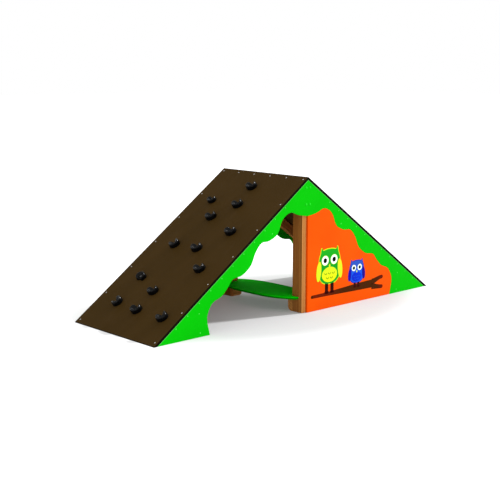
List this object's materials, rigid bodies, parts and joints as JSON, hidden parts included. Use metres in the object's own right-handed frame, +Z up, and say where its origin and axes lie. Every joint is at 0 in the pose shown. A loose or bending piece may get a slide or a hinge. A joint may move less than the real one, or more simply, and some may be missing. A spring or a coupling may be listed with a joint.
{
  "type": "toddler climbing ramp with play den",
  "caption": "A-frame climbing ramp for toddlers: holds on one slope, a smooth slope on the other, and a play den with wavy gables and a low step board under them.",
  "frame": {"origin": "on the ground, at the middle of the plan", "axes": "+X along the length towards the smooth slope, +Y to the back gable, +Z up"},
  "size_m": [3.07, 1.0056, 1.0869],
  "materials": {
    "brown_board": "dark brown film-faced plywood, matt anti-slip face",
    "green_panel": "bright green HDPE sheet, satin",
    "orange_panel": "orange HDPE sheet, satin",
    "timber": "glued laminated pine, honey-brown stain",
    "black_hold": "black moulded plastic, glossy",
    "steel_bolt": "stainless steel",
    "green_cap": "green plastic bolt cap"
  },
  "bodies": {
    "root": {"back_apex_bolt_1": "green_cap", "back_apex_bolt_2": "green_cap", "back_apex_bolt_3": "green_cap", "back_apex_bolt_4": "green_cap", "back_bottom_rail": "timber", "back_gable_panel": "green_panel", "back_left_rafter": "timber", "back_picture_panel": "orange_panel", "back_post": "timber", "back_right_rafter": "timber", "back_seat_block": "timber", "back_seat_bolt": "steel_bolt", "climbing_hold_01": "black_hold", "climbing_hold_02": "black_hold", "climbing_hold_03": "black_hold", "climbing_hold_04": "black_hold", "climbing_hold_05": "black_hold", "climbing_hold_06": "black_hold", "climbing_hold_07": "black_hold", "climbing_hold_08": "black_hold", "climbing_hold_09": "black_hold", "climbing_hold_10": "black_hold", "climbing_hold_11": "black_hold", "climbing_hold_12": "black_hold", "climbing_hold_13": "black_hold", "climbing_slope_panel": "brown_board", "front_apex_bolt_1": "green_cap", "front_apex_bolt_2": "green_cap", "front_apex_bolt_3": "green_cap", "front_apex_bolt_4": "green_cap", "front_bottom_rail": "timber", "front_gable_panel": "green_panel", "front_left_rafter": "timber", "front_picture_panel": "orange_panel", "front_post": "timber", "front_right_rafter": "timber", "front_seat_block": "timber", "front_seat_bolt": "steel_bolt", "hold_bolt_01": "steel_bolt", "hold_bolt_02": "steel_bolt", "hold_bolt_03": "steel_bolt", "hold_bolt_04": "steel_bolt", "hold_bolt_05": "steel_bolt", "hold_bolt_06": "steel_bolt", "hold_bolt_07": "steel_bolt", "hold_bolt_08": "steel_bolt", "hold_bolt_09": "steel_bolt", "hold_bolt_10": "steel_bolt", "hold_bolt_11": "steel_bolt", "hold_bolt_12": "steel_bolt", "hold_bolt_13": "steel_bolt", "left_foot_batten": "timber", "left_purlin": "timber", "ridge_beam": "timber", "right_foot_batten": "timber", "right_purlin": "timber", "seat_board": "green_panel", "smooth_slope_panel": "brown_board"}
  },
  "joints": []
}
